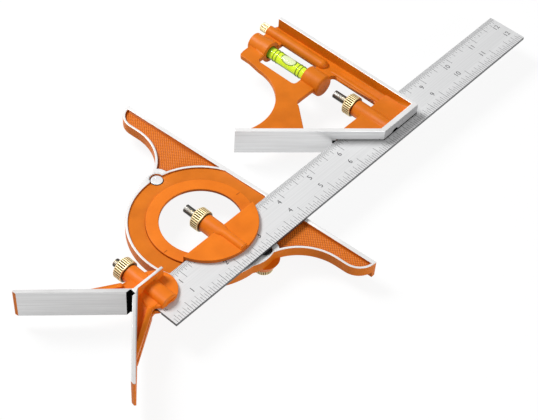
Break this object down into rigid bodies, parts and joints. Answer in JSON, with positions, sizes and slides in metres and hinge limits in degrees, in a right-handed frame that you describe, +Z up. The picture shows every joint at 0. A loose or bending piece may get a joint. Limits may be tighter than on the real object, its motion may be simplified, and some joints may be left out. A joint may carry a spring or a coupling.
{
  "type": "combination square set",
  "caption": "Grooved steel rule carrying a sliding square and mitre head with spirit level and scriber, a swivelling protractor head and a V-shaped centre head, each clamped by a knurled nut.",
  "frame": {"origin": "centre of the footprint, at the height of the lock nuts' lower faces that it rests on", "axes": "+X along the rule from its zero end, +Y across the rule towards the heads' clamps, +Z up out of the rule's graduated face"},
  "size_m": [0.3522, 0.176, 0.0266],
  "materials": {
    "rule_steel": "satin ground steel",
    "orange_paint": "gloss orange paint with machined rims",
    "bolt_steel": "turned steel",
    "nut_brass": "knurled brass",
    "vial_glass": "clear glass",
    "vial_fluid": "yellow-green fluid",
    "plug_grey": "matt"
  },
  "bodies": {
    "rule": {"rule_blade": "rule_steel"},
    "square": {"square_casting": "orange_paint", "level_tube": "vial_glass", "level_fluid": "vial_fluid", "level_plug": "plug_grey", "scriber_bush": "nut_brass"},
    "square_nut": {"square_nut": "nut_brass"},
    "square_bolt": {"square_bolt": "bolt_steel"},
    "scriber": {"scriber_needle": "bolt_steel", "scriber_knob": "nut_brass"},
    "center": {"center_casting": "orange_paint"},
    "center_nut": {"center_nut": "nut_brass"},
    "center_bolt": {"center_bolt": "bolt_steel"},
    "turret": {"turret": "orange_paint"},
    "turret_nut": {"turret_nut": "nut_brass"},
    "turret_bolt": {"turret_bolt": "bolt_steel"},
    "frame": {"protractor_frame": "orange_paint", "lock_shoe_upper": "orange_paint", "lock_shoe_lower": "orange_paint"},
    "lock_nut_upper": {"lock_nut_upper": "nut_brass"},
    "lock_nut_lower": {"lock_nut_lower": "nut_brass"},
    "lock_bolt_upper": {"lock_bolt_upper": "bolt_steel"},
    "lock_bolt_lower": {"lock_bolt_lower": "bolt_steel"}
  },
  "joints": [
    {"name": "square_slide", "type": "slide", "parent": "rule", "child": "square", "axis": [1, 0, 0], "range_m": [0, 0.09]},
    {"name": "square_nut_turn", "type": "hinge", "parent": "square", "child": "square_nut", "pos_m": [0.05544, 0.00298, 0.0171], "axis": [0, 1, 0], "range_deg": [0, 360]},
    {"name": "square_bolt_shift", "type": "slide", "parent": "square", "child": "square_bolt", "axis": [0, -1, 0], "range_m": [0, 0.0008]},
    {"name": "scriber_pull", "type": "slide", "parent": "square", "child": "scriber", "axis": [0, 1, 0], "range_m": [0, 0.034]},
    {"name": "center_slide", "type": "slide", "parent": "rule", "child": "center", "axis": [1, 0, 0], "range_m": [-0.004, 0]},
    {"name": "center_nut_turn", "type": "hinge", "parent": "center", "child": "center_nut", "pos_m": [-0.12186, 0.00298, 0.0171], "axis": [0, 1, 0], "range_deg": [0, 360]},
    {"name": "center_bolt_shift", "type": "slide", "parent": "center", "child": "center_bolt", "axis": [0, -1, 0], "range_m": [0, 0.0008]},
    {"name": "turret_slide", "type": "slide", "parent": "rule", "child": "turret", "axis": [1, 0, 0], "range_m": [0, 0.008]},
    {"name": "turret_nut_turn", "type": "hinge", "parent": "turret", "child": "turret_nut", "pos_m": [-0.06946, 0.00298, 0.0171], "axis": [0, 1, 0], "range_deg": [0, 360]},
    {"name": "turret_bolt_shift", "type": "slide", "parent": "turret", "child": "turret_bolt", "axis": [0, -1, 0], "range_m": [0, 0.0008]},
    {"name": "protractor_swing", "type": "hinge", "parent": "turret", "child": "frame", "pos_m": [-0.06946, -0.00242, 0.0121], "axis": [0, 0, 1], "range_deg": [-12, 45]},
    {"name": "lock_nut_upper_turn", "type": "hinge", "parent": "frame", "child": "lock_nut_upper", "pos_m": [-0.0648, 0.0361, 0.0021], "axis": [0, 0, -1], "range_deg": [0, 360]},
    {"name": "lock_bolt_upper_shift", "type": "slide", "parent": "frame", "child": "lock_bolt_upper", "axis": [0, 0, 1], "range_m": [0, 0.0008]},
    {"name": "lock_nut_lower_turn", "type": "hinge", "parent": "frame", "child": "lock_nut_lower", "pos_m": [-0.06001, -0.04005, 0.0021], "axis": [0, 0, -1], "range_deg": [0, 360]},
    {"name": "lock_bolt_lower_shift", "type": "slide", "parent": "frame", "child": "lock_bolt_lower", "axis": [0, 0, 1], "range_m": [0, 0.0008]}
  ],
  "couplings": [
    {"joint": "square_nut_turn", "follows": "square_bolt_shift", "rad_per_m": 7853.9},
    {"joint": "center_nut_turn", "follows": "center_bolt_shift", "rad_per_m": 7853.9},
    {"joint": "turret_nut_turn", "follows": "turret_bolt_shift", "rad_per_m": 7853.9},
    {"joint": "lock_nut_upper_turn", "follows": "lock_bolt_upper_shift", "rad_per_m": 7853.9},
    {"joint": "lock_nut_lower_turn", "follows": "lock_bolt_lower_shift", "rad_per_m": 7853.9}
  ]
}
